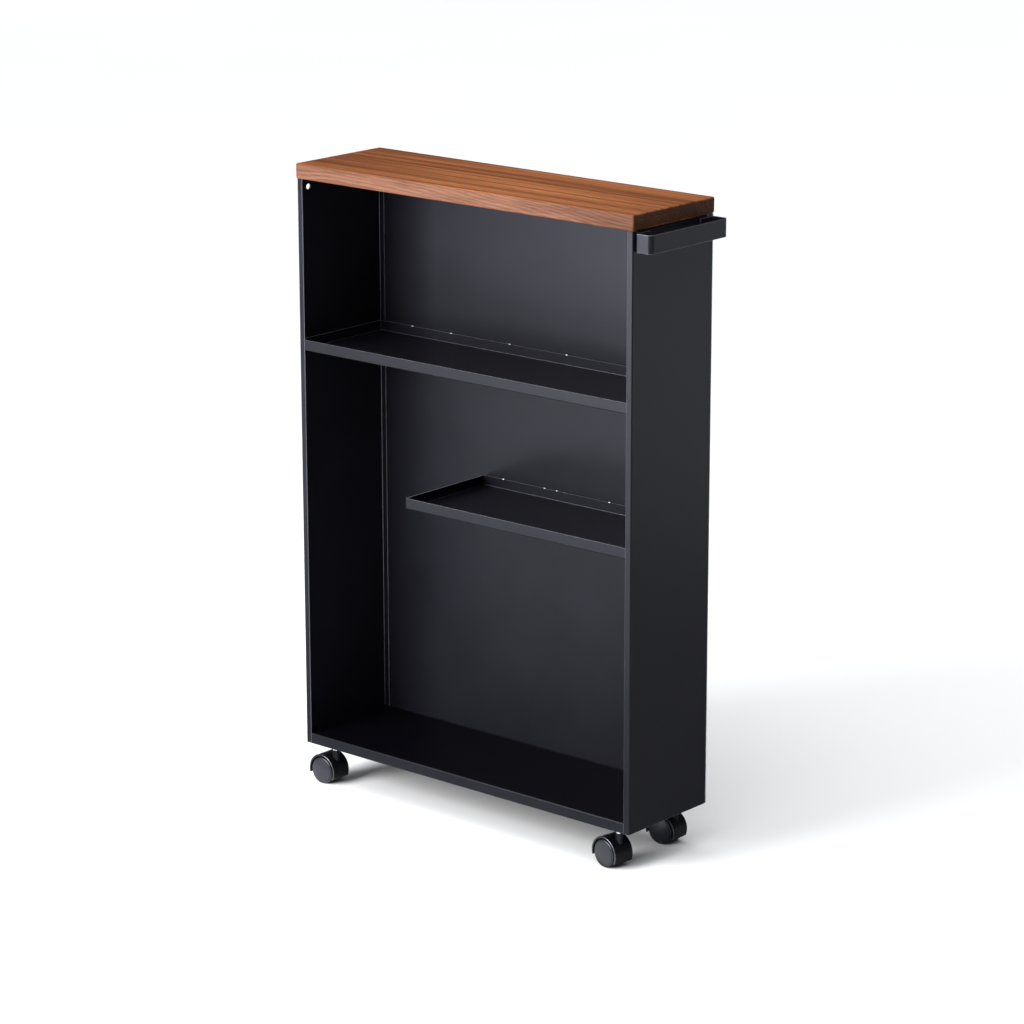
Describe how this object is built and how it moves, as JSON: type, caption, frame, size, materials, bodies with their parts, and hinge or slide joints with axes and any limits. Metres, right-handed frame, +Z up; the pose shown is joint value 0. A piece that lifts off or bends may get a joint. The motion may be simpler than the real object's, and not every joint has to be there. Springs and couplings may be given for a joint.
{
  "type": "rolling storage cart",
  "caption": "Slim open-front rolling storage cart of folded black sheet steel with a solid wood top, a full tray, a half tray, a push handle at one end and twin-wheel swivel casters.",
  "frame": {"origin": "centre of the bounding box's bottom face, on the ground", "axes": "+X along the cart towards its handle, +Y from the open front to the back, +Z up"},
  "size_m": [0.4798, 0.131, 0.6918],
  "materials": {
    "black_coat": "fine matte black powder coat on folded sheet steel",
    "walnut": "oiled straight-grained walnut, grain along the cart",
    "hood_nylon": "satin moulded black nylon",
    "wheel_nylon": "satin moulded black nylon",
    "chrome": "bright chrome plate",
    "zinc": "bright zinc plate"
  },
  "bodies": {
    "cart": {"back_panel": "black_coat", "base_panel": "black_coat", "board_screw_back_left": "zinc", "board_screw_back_right": "zinc", "board_screw_left_front": "zinc", "board_screw_left_rear": "zinc", "board_screw_right_front": "zinc", "board_screw_right_rear": "zinc", "caster_nut_back_left": "zinc", "caster_nut_back_right": "zinc", "caster_nut_front_left": "zinc", "caster_nut_front_right": "zinc", "caster_stem_back_left": "chrome", "caster_stem_back_right": "chrome", "caster_stem_front_left": "chrome", "caster_stem_front_right": "chrome", "handle": "black_coat", "handle_screw_front": "zinc", "handle_screw_rear": "zinc", "left_side_panel": "black_coat", "lower_tray": "black_coat", "right_side_panel": "black_coat", "top_board": "walnut", "upper_tray": "black_coat"},
    "swivel_front_left": {"caster_hood_front_left": "hood_nylon", "caster_axle_front_left": "zinc"},
    "wheel_front_left_near": {"caster_wheel_front_left_near": "wheel_nylon"},
    "wheel_front_left_far": {"caster_wheel_front_left_far": "wheel_nylon"},
    "swivel_front_right": {"caster_hood_front_right": "hood_nylon", "caster_axle_front_right": "zinc"},
    "wheel_front_right_near": {"caster_wheel_front_right_near": "wheel_nylon"},
    "wheel_front_right_far": {"caster_wheel_front_right_far": "wheel_nylon"},
    "swivel_back_left": {"caster_hood_back_left": "hood_nylon", "caster_axle_back_left": "zinc"},
    "wheel_back_left_near": {"caster_wheel_back_left_near": "wheel_nylon"},
    "wheel_back_left_far": {"caster_wheel_back_left_far": "wheel_nylon"},
    "swivel_back_right": {"caster_hood_back_right": "hood_nylon", "caster_axle_back_right": "zinc"},
    "wheel_back_right_near": {"caster_wheel_back_right_near": "wheel_nylon"},
    "wheel_back_right_far": {"caster_wheel_back_right_far": "wheel_nylon"}
  },
  "joints": [
    {"name": "swivel_turn_front_left", "type": "hinge", "parent": "cart", "child": "swivel_front_left", "pos_m": [-0.2101, -0.0465, 0.033], "axis": [0, 0, 1], "continuous": true},
    {"name": "wheel_spin_front_left_near", "type": "hinge", "parent": "swivel_front_left", "child": "wheel_front_left_near", "pos_m": [-0.2206, -0.0465, 0.01492], "axis": [0, 1, 0], "continuous": true},
    {"name": "wheel_spin_front_left_far", "type": "hinge", "parent": "swivel_front_left", "child": "wheel_front_left_far", "pos_m": [-0.2206, -0.0465, 0.01492], "axis": [0, 1, 0], "continuous": true},
    {"name": "swivel_turn_front_right", "type": "hinge", "parent": "cart", "child": "swivel_front_right", "pos_m": [0.1919, -0.0465, 0.033], "axis": [0, 0, 1], "continuous": true},
    {"name": "wheel_spin_front_right_near", "type": "hinge", "parent": "swivel_front_right", "child": "wheel_front_right_near", "pos_m": [0.18153, -0.04486, 0.01492], "axis": [0.1564, 0.9877, 0], "continuous": true},
    {"name": "wheel_spin_front_right_far", "type": "hinge", "parent": "swivel_front_right", "child": "wheel_front_right_far", "pos_m": [0.18153, -0.04486, 0.01492], "axis": [0.1564, 0.9877, 0], "continuous": true},
    {"name": "swivel_turn_back_left", "type": "hinge", "parent": "cart", "child": "swivel_back_left", "pos_m": [-0.2101, 0.0465, 0.033], "axis": [0, 0, 1], "continuous": true},
    {"name": "wheel_spin_back_left_near", "type": "hinge", "parent": "swivel_back_left", "child": "wheel_back_left_near", "pos_m": [-0.22057, 0.04723, 0.01492], "axis": [0.0698, 0.9976, 0], "continuous": true},
    {"name": "wheel_spin_back_left_far", "type": "hinge", "parent": "swivel_back_left", "child": "wheel_back_left_far", "pos_m": [-0.22057, 0.04723, 0.01492], "axis": [0.0698, 0.9976, 0], "continuous": true},
    {"name": "swivel_turn_back_right", "type": "hinge", "parent": "cart", "child": "swivel_back_right", "pos_m": [0.1919, 0.0465, 0.033], "axis": [0, 0, 1], "continuous": true},
    {"name": "wheel_spin_back_right_near", "type": "hinge", "parent": "swivel_back_right", "child": "wheel_back_right_near", "pos_m": [0.18141, 0.04595, 0.01492], "axis": [-0.0523, 0.9986, 0], "continuous": true},
    {"name": "wheel_spin_back_right_far", "type": "hinge", "parent": "swivel_back_right", "child": "wheel_back_right_far", "pos_m": [0.18141, 0.04595, 0.01492], "axis": [-0.0523, 0.9986, 0], "continuous": true}
  ]
}
